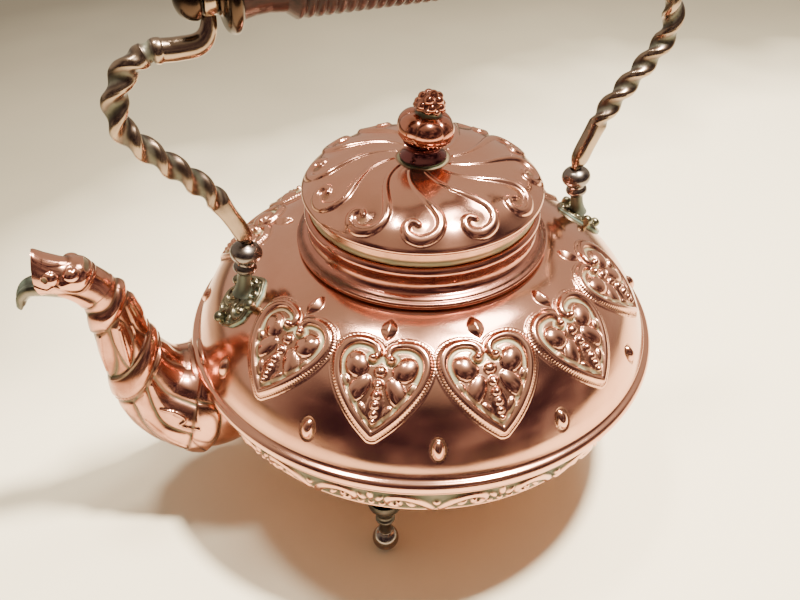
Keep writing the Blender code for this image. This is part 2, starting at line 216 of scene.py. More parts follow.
def mesh_piece(name, points, faces, finish, body, nodes, marks):
    """A piece that rides on a body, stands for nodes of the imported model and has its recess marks."""
    mesh = bpy.data.meshes.new(name)
    mesh.from_pydata(to_model(points).tolist(), [], faces)
    mesh.validate()
    mesh.shade_smooth()
    recess = mesh.attributes.new("recess", "FLOAT", "POINT")
    recess.data.foreach_set("value", np.asarray(marks, np.float32))
    mesh.materials.append(finish)
    made = bpy.data.objects.new(name, mesh)
    bpy.context.scene.collection.objects.link(made)
    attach(made, body)
    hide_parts(*nodes)


def outward(line):
    """The outward normals of a turned profile, which runs down its outside."""
    along = np.gradient(line, axis=0)
    along /= np.linalg.norm(along, axis=1, keepdims=True)
    return np.stack([-along[:, 1], along[:, 0]], axis=1)


def revolve(line, angles, relief=0.0):
    """A grid round the axis over a profile, raised by a relief along its normals."""
    normal = outward(line)
    radius = line[:, :1] + normal[:, :1] * relief
    height = line[:, 1:] + normal[:, 1:] * relief
    radius, height = np.broadcast_arrays(radius * np.ones(len(angles)), height * np.ones(len(angles)))
    return np.stack([radius * np.cos(angles), radius * np.sin(angles), height], axis=2)


def turns(count):
    """Angles that go once round in even steps."""
    return np.arange(count) * 2 * math.pi / count


def across_sectors(columns, count):
    """The angles of these columns, with count to a sector, from the middle of the first sector."""
    return (columns + 0.5) / count * SECTOR - SECTOR / 2


def turned(name, profile, finish, body, nodes, columns, spacing, recess=None, place=None):
    """A turned piece over a smooth profile. place moves its points from the axis."""
    line = curve(profile, spacing)
    grid = revolve(line, turns(columns))
    if place:
        grid = place(grid)
    marks = None if recess is None else recess(line)[:, None]
    skin(name, grid, finish, body, nodes, recess=marks)


# Finishes ------------------------------------------------------------------------------------------


def new_finish(name):
    made = bpy.data.materials.new(name)
    made.use_nodes = True
    return made, made.node_tree, made.node_tree.nodes["Principled BSDF"]


def feed(tree, socket, value):
    """Links a socket to another one, or sets its value."""
    if isinstance(value, bpy.types.NodeSocket):
        tree.links.new(value, socket)
    else:
        socket.default_value = value


def node(tree, kind, **inputs):
    made = tree.nodes.new(kind)
    for key, value in inputs.items():
        feed(tree, made.inputs[key], value)
    return made


def noise(tree, scale, detail, roughness=0.55, stretch=None):
    """Noise with about scale lumps to a metre."""
    place = tree.nodes.new("ShaderNodeTexCoord").outputs["Object"]
    if stretch:
        place = node(tree, "ShaderNodeMapping", Vector=place, Scale=stretch).outputs["Vector"]
    made = node(tree, "ShaderNodeTexNoise", Vector=place, Scale=scale, Detail=detail,
                Roughness=roughness)
    return made.outputs["Fac"]


def ramp(tree, value, *stops):
    """A colour ramp. Each stop is a place and a colour or a grey."""
    made = node(tree, "ShaderNodeValToRGB", Fac=value)
    bar = made.color_ramp.elements
    while len(bar) < len(stops):
        bar.new(0.5)
    for element, (place, colour) in zip(bar, stops):
        element.position = place
        element.color = (*colour, 1) if isinstance(colour, tuple) else (colour, colour, colour, 1)
    return made.outputs["Color"]


def maths(tree, kind, a, b, clamp=False):
    made = tree.nodes.new("ShaderNodeMath")
    made.operation, made.use_clamp = kind, clamp
    feed(tree, made.inputs[0], a)
    feed(tree, made.inputs[1], b)
    return made.outputs[0]


def blended(tree, amount, first, second):
    """The first colour where amount is 0, and the second where it is 1."""
    made = tree.nodes.new("ShaderNodeMix")
    made.data_type = "RGBA"
    for key, value in (("Factor", amount), (6, first), (7, second)):
        feed(tree, made.inputs[key], (*value, 1) if isinstance(value, tuple) else value)
    return made.outputs[2]


def aged_metal(name, light, deep, tarnish, patina, polish, dull, base_patina=0.0, wobble=0.35):
    """Polished metal that turns to tarnish and then to patina where its recess mark is high.

    polish is its least roughness, and dull what patina adds to that. base_patina is tarnish on the
    open metal, and wobble how uneven the beaten surface is.
    """
    made, tree, shader = new_finish(name)
    mark = tree.nodes.new("ShaderNodeAttribute")
    mark.attribute_name = "recess"
    worn = ramp(tree, noise(tree, 90, 6), (0.35, 0.0), (0.7, 1.0))
    stain = ramp(tree, noise(tree, 28, 5, 0.6), (0.42, 0.0), (0.68, 1.0))
    mottle = maths(tree, "ADD", maths(tree, "MULTIPLY", worn, 0.45), 0.62)
    amount = maths(tree, "MULTIPLY", mark.outputs["Fac"], mottle, True)
    if base_patina:
        amount = maths(tree, "ADD", amount, maths(tree, "MULTIPLY", stain, base_patina), True)
    colour = blended(tree, maths(tree, "MULTIPLY", stain, 0.6), light, deep)
    colour = blended(tree, ramp(tree, amount, (0.08, 0.0), (0.45, 1.0)), colour, tarnish)
    colour = blended(tree, ramp(tree, amount, (0.4, 0.0), (0.85, 1.0)), colour, patina)
    tree.links.new(colour, shader.inputs["Base Color"])
    tree.links.new(ramp(tree, amount, (0.4, 1.0), (0.9, 0.1)), shader.inputs["Metallic"])
    tree.links.new(ramp(tree, amount, (0.4, 0.5), (0.9, 0.1)), shader.inputs["Specular IOR Level"])
    rough = maths(tree, "ADD", maths(tree, "MULTIPLY", stain, 0.07), polish)
    rough = maths(tree, "ADD", rough, maths(tree, "MULTIPLY", amount, dull), True)
    tree.links.new(rough, shader.inputs["Roughness"])
    waves = node(tree, "ShaderNodeBump", Height=noise(tree, 26, 2), Strength=wobble,
                 Distance=0.0012)
    scratches = node(tree, "ShaderNodeBump", Height=noise(tree, 900, 3, 0.7), Strength=0.06,
                     Distance=0.0002, Normal=waves.outputs["Normal"])
    tree.links.new(scratches.outputs["Normal"], shader.inputs["Normal"])
    return made


def dark_wood():
    made, tree, shader = new_finish("turned_wood")
    grain = noise(tree, 60, 6, 0.6, (1, 9, 9))
    colour = ramp(tree, grain, (0.3, (0.012, 0.003, 0.003)), (0.55, (0.036, 0.009, 0.007)),
                  (0.8, (0.07, 0.018, 0.012)))
    tree.links.new(colour, shader.inputs["Base Color"])
    shader.inputs["Roughness"].default_value = 0.4
    shader.inputs["Specular IOR Level"].default_value = 0.16
    relief = node(tree, "ShaderNodeBump", Height=grain, Strength=0.25, Distance=0.0003)
    tree.links.new(relief.outputs["Normal"], shader.inputs["Normal"])
    return made


COPPER = aged_metal("copper_skin", (0.83, 0.425, 0.3), (0.7, 0.31, 0.21), (0.34, 0.17, 0.1),
                    (0.25, 0.235, 0.15), 0.13, 0.35)
BAND_COPPER = aged_metal("band_copper", (0.82, 0.42, 0.29), (0.68, 0.3, 0.2), (0.2, 0.15, 0.1),
                         (0.1, 0.1, 0.07), 0.16, 0.4)
# The collar's copper is redder, and its darker colours are painted shade for the dark reflection in its
# concave neck.
RED_AND_SHADED_COLLAR_COPPER = aged_metal("red_and_shaded_collar_copper", (0.62, 0.27, 0.2), (0.4, 0.14, 0.1), (0.2, 0.085, 0.06),
                           (0.16, 0.14, 0.09), 0.12, 0.35, 0.2)
# The spout's tarnish is the metal's own. Its darker colours are painted shade for the dark reflections
# on the spout.
SHADED_SPOUT_COPPER = aged_metal("shaded_spout_copper", (0.76, 0.37, 0.26), (0.44, 0.17, 0.11), (0.2, 0.085, 0.055),
                          (0.16, 0.14, 0.09), 0.12, 0.35, 0.3, 1.0)
RED_COPPER = aged_metal("red_copper", (0.6, 0.25, 0.17), (0.42, 0.14, 0.09), (0.22, 0.1, 0.07),
                        (0.16, 0.2, 0.14), 0.12, 0.35)
BEAK_METAL = aged_metal("beak_metal", (0.3, 0.25, 0.2), (0.2, 0.17, 0.14), (0.07, 0.065, 0.05),
                        (0.1, 0.13, 0.1), 0.2, 0.3, 0.4)
CAST_BRASS = aged_metal("cast_brass", (0.3, 0.26, 0.17), (0.2, 0.16, 0.1), (0.1, 0.11, 0.08),
                        (0.22, 0.36, 0.31), 0.2, 0.3, 0.15)
BAR_METAL = aged_metal("bar_metal", (0.34, 0.25, 0.18), (0.2, 0.135, 0.1), (0.08, 0.055, 0.045),
                       (0.13, 0.14, 0.1), 0.18, 0.3, 0.1)
BRONZE = aged_metal("dark_bronze", (0.06, 0.037, 0.025), (0.038, 0.022, 0.017), (0.05, 0.036, 0.03),
                    (0.1, 0.11, 0.08), 0.2, 0.3, 0.1)
PEWTER = aged_metal("dark_pewter", (0.26, 0.22, 0.2), (0.15, 0.12, 0.11), (0.07, 0.06, 0.05),
                    (0.12, 0.14, 0.11), 0.18, 0.3, 0.2)
SPOOL_METAL = aged_metal("spool_bronze", (0.2, 0.07, 0.07), (0.1, 0.03, 0.03), (0.05, 0.04, 0.035),
                         (0.1, 0.17, 0.13), 0.14, 0.35)
WOOD = dark_wood()


# Body ----------------------------------------------------------------------------------------------

HEART_LINE = curve([(3.6, 9.9), (2.3, 8.6), (2.1, 6.3), (3.6, 3.9), (6.8, 2.7), (10.8, 3.0),
                    (14.4, 5.3), (16.8, 9.2), (17.5, 14), (16.3, 20.4), (13.2, 27), (8.8, 33.4),
                    (4.2, 38.8), (0, 42.9)], 0.7)
BEADS = [(15.4, 2.2), (20.9, 1.9), (25.7, 1.7), (30, 1.5), (33.8, 1.3), (37.1, 1.1)]


def heart(s, t):
    """The embossed heart's relief and its stained grooves. Its two halves mirror each other."""
    s, t = np.abs(s) * 0.97, (t - 4.6) / 0.9
    distance, run = near(HEART_LINE, s, t)
    within = inside([*HEART_LINE, (0, 8.5)], s, t)
    out = np.where(within, -distance, distance)
    half = 1.65 + 0.25 * step(run, 3, 12)
    h = bump(distance / half, 1.8, 0.5)
    border = (1.1 - 0.5 * (out - 1.0)) * step(out, 0.5, 1.1) * (1 - step(out, 2.4, 3.2))
    h = np.maximum(h, border * (run > 9))
    h += 0.25 * np.cos(2 * math.pi * run / 1.25) * bump((out - 1.9) / 0.8, 1) * (run > 14)
    h = np.maximum(h, bump((out - 3.1) / 0.45, 0.4))
    field = 0.3 * step(-out - half - 0.9, 0, 0.8) * within
    h = np.maximum(h - 0.35 * bump((out + half + 0.5) / 0.8, 1), field)
    boss = oval(s, t, (9.5, 13.8), 4.9, 5.7, 2.1, 10, 0.75)
    wing = oval(s, t, (7.4, 24.0), 3.5, 7.0, 1.3, -27, 0.75)
    drops = np.maximum(oval(s, t, (13.0, 21.6), 1.5, 2.4, 1.1, 20),
                       oval(s, t, (4.8, 33.0), 1.7, 3.4, 0.9, 18))
    leaf = almond(s, t, (0, 32.5), 3.6, 11.5, 0.9)
    inner = np.maximum.reduce([boss, wing * step(s, 1.6, 3.2), drops, leaf]) * within
    h = np.maximum(h, field + inner * 0.9 + 0.3 * (inner > 0))
    for down, r in BEADS:
        h += bump(np.hypot(s, t - down) / (1.12 * r), 0.8 * r, 0.5)
    h = np.maximum(h, bump(np.hypot(s - 3.6, t - 10.0) / 2.2, 3.2))
    ground = 0.75 * bump((out + half + 0.7) / 1.1, 1) + 0.35 * within * (1 - step(h, 0.2, 0.9))
    rim_line = 0.4 * bump((out - 2.3) / 0.5, 1)
    return h, np.clip(ground + rim_line, 0, 1)


def shell_sector(line, angles, with_heart):
    """Relief and recess marks over one sector, with its studs and, if it has one, its heart."""
    run = runs(line)
    radius = line[:, :1]
    widest = np.argmax(line[:, 0])
    heart_top, leaf, stud_at = np.interp((HEART_TOP_R, LEAF_R, STUD_R), line[:widest, 0], run[:widest])
    s, t = radius * angles, (run - heart_top)[:, None] + 0 * angles
    h, marks = np.zeros(s.shape), np.zeros(s.shape)
    if with_heart:
        h, marks = heart(s, t)
        h = np.maximum(h, almond(s, t, (0, leaf - heart_top), 3.3, 5.0, 2.1))
    for edge in (-1, 1):
        across, middle = radius * (angles - edge * SECTOR / 2), (0, stud_at - heart_top)
        stud = oval(across, t, middle, 2.3, 4.0, 2.1)
        dish = oval(across, t, middle, 3.4, 5.4, 0.4)
        h = h + np.maximum(stud, 0) - dish * (stud <= 0)
        marks = marks + 0.4 * (dish > 0) * (stud < 0.3)
    return h, np.clip(np.maximum(marks, 0.55 * hollows(h)), 0, 1)


def make_shell():
    """The embossed shell in quarters, with its lining. The sectors under the plates have no heart."""
    line = curve(SHELL, 0.36)
    angles = across_sectors(np.arange(SHELL_COLUMNS), SHELL_COLUMNS)
    plain, with_heart = (shell_sector(line, angles, kind) for kind in (False, True))
    for quarter in range(4):
        first = 3 * quarter - 1
        heights, marks, around = [], [], []
        for k in range(first, first + 4):  # three sectors, and the first column of the next
            wanted = 1 if k == first + 3 else SHELL_COLUMNS
            h, m = with_heart if k % 6 else plain
            heights.append(h[:, :wanted])
            marks.append(m[:, :wanted])
            around.append(angles[:wanted] + math.pi + k * SECTOR)
        grid = revolve(line, np.concatenate(around), np.concatenate(heights, axis=1))
        skin(f"shell_quarter_{quarter + 1}", grid, COPPER, "kettle_body", ["upper_shell"],
             around=False, recess=np.concatenate(marks, axis=1))
    lining = curve([(109, 0.3), (104.6, 0.3), (104.6, 7.2), (102.7, 12.4), (98.9, 19.8), (93.3, 27.7),
                    (86, 34.4), (77.4, 40.6), (67.6, 45.2), (57.8, 47.6), (51, 48), (50.9, 49.2)], 1.2)
    skin("shell_lining", revolve(lining, turns(160)), RED_COPPER, "kettle_body", ["upper_shell"])


def bowl_band(s, t):
    """The band of scrolls and palmettes under the rim. Its two halves mirror each other."""
    s = np.abs(s)
    scroll = curve([(24.2, 15.4), (22, 10.6), (17.8, 6.6), (12.4, 5), (8.2, 6.6), (7, 10), (9.2, 12.4),
                    (12, 11.2), (11.6, 9)], 0.8)
    distance, run = near(scroll, s, t)
    width = 2.2 - 0.9 * step(run, 18, 34)
    h = bump(distance / width, 1.7)
    for centre, half_s, half_t, turn in (((0, 6.6), 1.7, 3.6, 0), ((3.6, 8.2), 1.4, 3.2, 34),
                                         ((0, 13.2), 1.7, 1.7, 0), ((4.4, 13.6), 1.2, 2.2, 60),
                                         ((16.4, 11.2), 1.3, 3.2, -40), ((27.2, 9.4), 2.1, 2.1, 0)):
        h = np.maximum(h, oval(s, t, centre, half_s, half_t, 1.6, turn))
    edges = np.maximum(bump((t - 1.6) / 0.6, 0.6), bump((t - 18.6) / 0.8, 0.9))
    h = np.maximum(h, edges)
    ground = step(t, 0.8, 1.8) * (1 - step(t, 17.6, 18.6)) * (1 - step(h, 0.3, 1.1))
    return h * (t > 0.3), ground


def make_bowl():
    """The bowl under the rim: the embossed band in two halves, the plain bottom and the lining."""
    ellipse = [(BOWL_R * math.cos(a), -BOWL_DEPTH * math.sin(a))
               for a in np.radians(np.linspace(2, 74, 60))]
    flange = [(104.2, 0), (107.2, -0.1), (108.4, -0.5), (108.4, -1.2), (106.6, -1.8)]
    upper = curve([*flange, *[p for p in ellipse if p[1] > -24]], 0.42)
    lower = curve([*[p for p in ellipse if p[1] <= -23.6], (20, -62.5), (8, -62.5), (0.4, -62.5)], 1.3)
    angles = across_sectors(np.arange(SHELL_COLUMNS), SHELL_COLUMNS)
    run = runs(upper)
    start = run[np.argmax(upper[:, 1] < -2.6)]
    h, marks = bowl_band(upper[:, :1] * angles, (run - start)[:, None] + 0 * angles)
    for half in range(2):
        columns = np.arange(6 * SHELL_COLUMNS + 1) + 6 * SHELL_COLUMNS * half
        around = across_sectors(columns, SHELL_COLUMNS) + math.pi
        columns %= SHELL_COLUMNS
        skin(f"bowl_band_{half + 1}", revolve(upper, around, h[:, columns]), BAND_COPPER,
             "kettle_body", ["lower_bowl"], around=False, recess=marks[:, columns])
    skin("bowl_bottom", revolve(lower, turns(240)), COPPER, "kettle_body", ["lower_bowl"],
         recess=(0.3 + 0.08 * step(-lower[:, 1], 26, 40))[:, None])
    lining = curve([(103.4, 0), (102.4, -6), (99.6, -19), (91.8, -31), (76, -44.6), (52, -55.6),
                    (26, -61), (10, -61.3), (0.4, -61.3)], 1.5)
    skin("bowl_lining", revolve(lining, turns(160)), RED_COPPER, "kettle_body", ["lower_bowl"])


def make_collar():
    profile = [(49.4, 56), (49.4, 65.2), (49.5, 66.4), (51, 66.6), (52.3, 65.2), (52.3, 63.2),
               (51, 61.8), (50.5, 59.8), (50.6, 57.4), (51.6, 55), (53.6, 54), (54.4, 53.6),
               (54.7, 53.1), (56.2, 52.6), (56.6, 51.2), (55.8, 49.8), (53, 49.3), (50.7, 49.4),
               (50.6, 46.8), (49.4, 46.8), (49.4, 52)]

    def stain(line):
        seam = bump((line[:, 1] - 53.4) / 0.9, 0.5) + bump((line[:, 1] - 49.6) / 0.8, 0.7)
        return np.clip(seam * (line[:, 0] > 50.8), 0, 1)

    turned("collar", profile, RED_AND_SHADED_COLLAR_COPPER, "kettle_body", ["neck_collar"], 220, 0.4, stain)


def make_feet():
    for name, azimuth in (("left_foot", -60), ("right_foot", 60), ("rear_foot", 180)):
        a = math.radians(180 - azimuth)
        middle = np.array([FOOT_R * math.cos(a), FOOT_R * math.sin(a), 0])
        ball = [(FOOT_BALL_R * math.cos(b), FOOT_BALL_HEIGHT + FOOT_BALL_R * math.sin(b))
                for b in np.radians(np.linspace(62, -74, 12))]
        profile = [(7.8, -42), (7.9, -45.6), (7, -47.8), (4.6, -50.6), (3.4, -53.6), (3.6, -55.4),
                   (4.4, -56.4), (4.4, -57.6), (3, -59), (2.8, -62), (3.1, -65.2), *ball, (0.3, -78)]
        turned(f"{name}_turned", profile, PEWTER, "kettle_body", [name], 48, 0.5,
               lambda line: 0.5 * step(line[:, 1], -66.5, -64),
               lambda points, at=middle: points + at)


# Spout ---------------------------------------------------------------------------------------------

# Closed outlines in (reach, height), how far each stands out and how soft its edge is.
LOBES = [
    ([(147, -8), (143, -26), (136, -40), (124, -52), (116, -46), (126, -35), (133, -26), (137, -16),
      (139, -3)],
     2.4, 3.0),
    ([(139, -3), (137, -17), (133, -27), (126, -36), (116, -43), (112, -36), (119, -21), (128, -15),
      (131, -6), (133, 5)], 2.1, 1.8),
    ([(132, 6), (131, -6), (128, -15), (119, -21), (109, -25), (106, -12), (115, -6), (124, 0),
      (129, 10)],
     3.0, 3.0),
    ([(129, 13), (128, 6), (124, -1), (115, -6.5), (105, -8), (104, 0), (106, 6), (112, 3), (117, 5.5),
      (122, 12), (124, 20)], 2.1, 1.8),
    ([(122.5, 22), (122.5, 13), (117, 5.5), (112, 3), (104, 6), (102, 16), (104, 26), (112, 27),
      (119, 28)],
     3.1, 3.0),
    ([(112, -5), (121, -33), (127, -52), (117, -56), (112, -38), (105, -21), (104, -8)], 2.8, 0.6),
    ([(121, 42), (124, 31), (130, 22), (139, 13), (147, 8), (148, -5), (137, 1), (129.5, 8.5),
      (123.5, 18.5), (118, 29)], 2.3, 1.8),
    ([(147.5, 34), (148.5, 20), (146, 9), (142, 17), (141, 29), (142.4, 37)], 1.9, 1.8),
    ([(140.8, 38), (140.4, 27), (137, 16), (133.4, 25), (134, 35), (137, 41)], 2.0, 1.8),
    ([(133, 44), (131.4, 34), (126.6, 25.5), (126, 38), (129, 49)], 1.9, 1.8),
    ([(132, 57), (137, 49), (141, 46), (148, 43), (149, 32), (141, 36.6), (134, 43.6), (129.5, 52)],
     2.3, 1.8),
    ([(158, 55.5), (153, 56.5), (148, 54.5), (143.6, 50), (149, 46), (152, 50)], 1.6, 1.8),
    ([(140, 66), (142, 61), (147, 57.6), (152.6, 58.2), (156, 61), (152, 66.6), (146, 68.4)], 2.1, 3.0),
]
# Raised lines in (reach, height), with half width and height.
LINES = [
    ([(122, 19.5), (129, 9.6), (136.4, 1.6), (145, -4)], 0.9, 2.3),
    ([(123.4, 38), (124.6, 31), (130, 22.4), (139, 13.4), (145, 9)], 0.7, 2.0),
    ([(131, 51), (130.4, 43), (128.6, 35)], 0.55, 1.9),
    ([(137, 36), (136.8, 27), (136.6, 20)], 0.45, 1.7),
    ([(144.6, 33), (145.6, 22), (145.6, 14)], 0.45, 1.6),
    ([(134, 27), (131.6, 30), (132, 35)], 0.4, 1.3),
    ([(128, -6), (122, -8.4), (118, -12), (121, -14.6), (113, -17)], 0.6, 2.5),
    ([(135, -12), (128, -22), (120, -30)], 0.5, 2.0),
    ([(113, 18), (117, 12), (112, 8.6), (108, 10)], 0.6, 2.4),
    ([(133, 64), (136, 54)], 0.5, 0.7),
    ([(139, 69.5), (141, 62.4), (147, 57.2), (153, 57.8), (156.4, 61), (160, 59.6), (164.4, 62.6)],
     0.75, 1.5),
    ([(140, 66.5), (147, 68), (155, 69.6), (161, 72.4)], 1.3, 0.9),
]


def spout_grid(start, end, rows, columns):
    """Places over the spout's form, their outward normals and how far along SPOUT they are."""
    angle = turns(columns)[None, :]
    t = start + (end - start) * np.linspace(0, 1, rows)[:, None] * np.ones((1, columns))

    def skin_at(t):
        here, ahead = spline(SPOUT, t), spline(SPOUT, np.minimum(t + 0.01, len(SPOUT) - 1))
        behind = spline(SPOUT, np.maximum(t - 0.01, 0))
        along = (ahead - behind)[..., :2]
        along /= np.linalg.norm(along, axis=-1, keepdims=True)
        u, v = here[..., 2] * np.cos(angle), here[..., 3] * np.sin(angle)
        return np.stack([here[..., 0] - along[..., 1] * u, v, here[..., 1] + along[..., 0] * u],
                        axis=-1)

    grid = skin_at(t)
    by_row = np.gradient(grid, axis=0)
    by_column = np.roll(grid, -1, axis=1) - np.roll(grid, 1, axis=1)
    normal = np.cross(by_row, by_column)
    normal /= np.linalg.norm(normal, axis=-1, keepdims=True) + 1e-12
    here = spline(SPOUT, t)
    centre = np.stack([here[..., 0], 0 * t, here[..., 1]], axis=-1)
    return grid, normal * np.sign((normal * (grid - centre)).sum(axis=-1, keepdims=True)), t


def spout_relief(reach, height):
    """The relief that is drawn in side view, the same on both sides."""
    h = np.zeros(reach.shape)
    seams = np.zeros(reach.shape)
    for outline, rise, edge in LOBES:
        line = curve([*outline, outline[0]], 0.8)
        distance, _ = near(line, reach, height)
        within = inside(line, reach, height)
        h = np.where(within, np.maximum(h, rise * (1 - np.exp(-distance / edge))), h)
        seams = np.maximum(seams, 0.45 * np.exp(-((distance / 0.9) ** 2)))
    for points, half, rise in LINES:
        distance, _ = near(curve(points, 0.8), reach, height)
        h = np.maximum(h, bump(distance / half, 1) * rise * 0.35 + h * (distance < half))
    h = np.maximum(h, oval(reach, height, (149.4, 64), 3.6, 2.5, 2.4, 10))
    h = np.maximum(h, oval(reach, height, (157.4, 64.6), 3.4, 2.7, 1.8, 20))
    spots = oval(reach, height, (143.8, 64.4), 1.4, 1.4, 1)
    spots = spots + oval(reach, height, (159.6, 65), 1.3, 1.3, 1)
    h = h - 0.8 * spots
    return h, np.clip(np.maximum(spots, seams) + 0.5 * hollows(h, 3, 0.35), 0, 1)


def outside_body(points):
    """How far places lie outside the shell and the bowl, roughly, across the axis."""
    profile = np.array([*SHELL, (108.6, -1.2), (105, -3), (103.9, -9), (100.4, -19), (92, -31.4),
                        (76.4, -44.6), (52, -56.5), (30, -62.5)])
    order = np.argsort(profile[:, 1])
    radius = np.interp(points[..., 2], profile[order, 1], profile[order, 0])
    return np.hypot(points[..., 0], points[..., 1]) - radius


def make_spout():
    lengths = (("breast", 0.3, 5.0, 210, 280), ("neck", 5.0, 8.2, 150, 240),
               ("head", 8.2, None, 190, 240))
    for name, start, end, rows, columns in lengths:
        angle = turns(columns)
        if end is None:
            end = 12 - 1.5 * ((1 - np.cos(angle)) / 2) ** 1.5
        grid, normal, t = spout_grid(start, end, rows, columns)
        h, marks = spout_relief(grid[..., 0], grid[..., 2])
        keep = None
        if name == "breast":
            clear = outside_body(grid)
            h = np.maximum(h, 1.5 * step(clear, -1, 0) * (1 - step(clear, 1.9, 2.3)))
            keep = clear > -1.0
        grid = grid + normal * h[..., None]
        if name == "head":  # the mouth flares, and a lip and part of the bore show inside it
            flare = step(t, 10.8, 12) * np.clip(np.cos(angle), 0, 1)[None, :] ** 1.5
            grid[..., 2] += 1.6 * flare
            inner = grid[::-1][2:120] - normal[::-1][2:120] * 1.5
            lip = (grid[-1:] + inner[:1]) / 2 + (grid[-1:] - grid[-2:-1]) * 1.2
            grid = np.concatenate([grid, lip, inner])
            marks = np.concatenate([marks, marks[-1:], np.full(inner.shape[:2], 0.9)])
        grid[..., 0] *= -1
        skin(f"spout_{name}_skin", grid, SHADED_SPOUT_COPPER, "kettle_body", [f"spout_{name}"],
             recess=marks, keep=keep)
    make_beak()


def make_beak():
    """The hooked lower beak, a gutter that narrows to its tip, which is the pouring lip."""
    points = [(149, 54.6, 5.4, 6), (156, 56.8, 5, 6), (162.6, 58.4, 4.6, 5.4), (168, 58, 4, 4.4),
              (171.4, 54.6, 3, 3), (172.7, 50.4, 1.9, 1.8), (172.9, 47.8, 0.5, 0.5)]
    t = np.linspace(0, len(points) - 1, 130)
    here = spline(points, t)
    along = np.gradient(here[:, :2], axis=0)
    along /= np.linalg.norm(along, axis=1, keepdims=True)
    angle = turns(64)[None, :]
    keel = 1 + 0.16 * np.clip(-np.cos(angle), 0, 1) ** 6
    gutter = 1 - 0.62 * np.clip(np.cos(angle), 0, 1) ** 3 * step(6 - t, 0.4, 1.6)[:, None]
    u = here[:, 2][:, None] * np.cos(angle) * keel * gutter
    v = here[:, 3][:, None] * np.sin(angle)
    grid = np.stack([-(here[:, :1] - along[:, 1:] * u), v, here[:, 1:2] + along[:, :1] * u], axis=-1)
    marks = 0.25 + 0.55 * np.clip(np.cos(angle), 0, 1) + 0 * u
    skin("spout_beak", grid, BEAK_METAL, "kettle_body", ["spout_head"], recess=marks)


# Lid -----------------------------------------------------------------------------------------------

RIDGE = [(13, -22), (17, -16), (22, -9), (27, -2), (32, 4.6), (37, 9.6), (41.5, 12), (45.5, 11),
         (48.3, 7.2), (49.5, 1.6), (48.6, -3.6), (46.4, -6), (43.8, -5.4), (42.8, -2.4), (44, 0.3)]


def lid_relief(radius, angle):
    """Swirling ridges that end in hooks, one to a sector."""
    x, y = radius * np.cos(angle), radius * np.sin(angle)
    h, marks = np.zeros(x.shape), np.zeros(x.shape)
    for k in (-1, 0, 1):
        polar = [(r, math.radians(a) + k * SECTOR) for r, a in RIDGE]
        line = curve([(r * math.cos(a), r * math.sin(a)) for r, a in polar], 0.8)
        distance, run = near(line, x, y)
        total = runs(line)[-1]
        half = 1.0 + 1.0 * step(run, 4, 34) - 0.8 * step(run, total - 8, total)
        lift = 0.5 + 0.85 * step(run, 4, 30)
        h = np.maximum(h, (0.85 * bump(distance / half, 1,
                                       0.7) + 0.25 * np.exp(-((distance / 2.8) ** 2))) * lift)
        curl = math.radians(1) + k * SECTOR
        hook = np.hypot(x - 45.6 * math.cos(curl), y - 45.6 * math.sin(curl))
        marks = np.maximum(marks, bump(hook / 2.6, 0.55) * (distance > half * 0.9))
    marks = np.maximum(marks, 0.3 * hollows(h))
    return h, np.maximum(marks, 1 - step(radius, 10.4, 12.6))


def make_lid():
    """The ridged dome in two halves, its lining and the skirt that stands in the collar."""
    dome = [(2.8, 88.7), (12, 88.7), (22, 88.2), (32, 86.8), (40, 84.6), (46.6, 81.4), (51.6, 77.4),
            (52.8, 75.9), (52.9, 74.9), (52.2, 74.2), (51, 74.3), (50.4, 75)]
    line = curve(dome, 0.36)
    angles = across_sectors(np.arange(LID_COLUMNS), LID_COLUMNS)
    h, marks = lid_relief(*np.broadcast_arrays(line[:, :1], angles))
    h *= (1 - step(np.arange(len(line)), len(line) - 12, len(line) - 8))[:, None]
    for half in range(2):
        columns = np.arange(6 * LID_COLUMNS + 1) + 6 * LID_COLUMNS * half
        around = across_sectors(columns, LID_COLUMNS) + LID_PHASE
        columns %= LID_COLUMNS
        skin(f"lid_dome_{half + 1}", revolve(line, around, h[:, columns]), COPPER, "lid",
             ["lid_dome"], around=False, recess=marks[:, columns])
    lining = curve([(50.6, 75.2), (46, 80.3), (39.6, 83.4), (31.8, 85.6), (21.8, 87), (12, 87.5),
                    (2.6, 87.5)], 1)
    skin("lid_lining", revolve(lining, turns(120)), RED_COPPER, "lid", ["lid_dome"])
    skirt = [(49.2, 76), (50.3, 75.6), (50.3, 70), (50.5, 69.4), (50.5, 68), (50.3, 67.2), (50, 66.8),
             (48.6, 66.7), (48.4, 66), (48.4, 60), (48.4, 52.4), (48.1, 52), (47.5, 52), (47.2, 52.4),
             (47.2, 60), (47.2, 67.4), (49, 69), (49, 75)]
    turned("lid_skirt_turned", skirt, COPPER, "lid", ["lid_skirt"], 200, 0.5,
           lambda line: (0.3 + 0.6 * bump((line[:, 1] - 68.6) / 1.6, 1)) * (line[:, 0] > 49.6))


def leaned(points):
    """The knob's worn lean, over its spool. It turns about the bulb's foot."""
    turn = np.array(Matrix.Rotation(math.radians(KNOB_LEAN), 3, Vector((0.3, 0.95, 0))))
    foot = np.array([0, 0, 97.0])
    return (points - foot) @ turn.T + foot


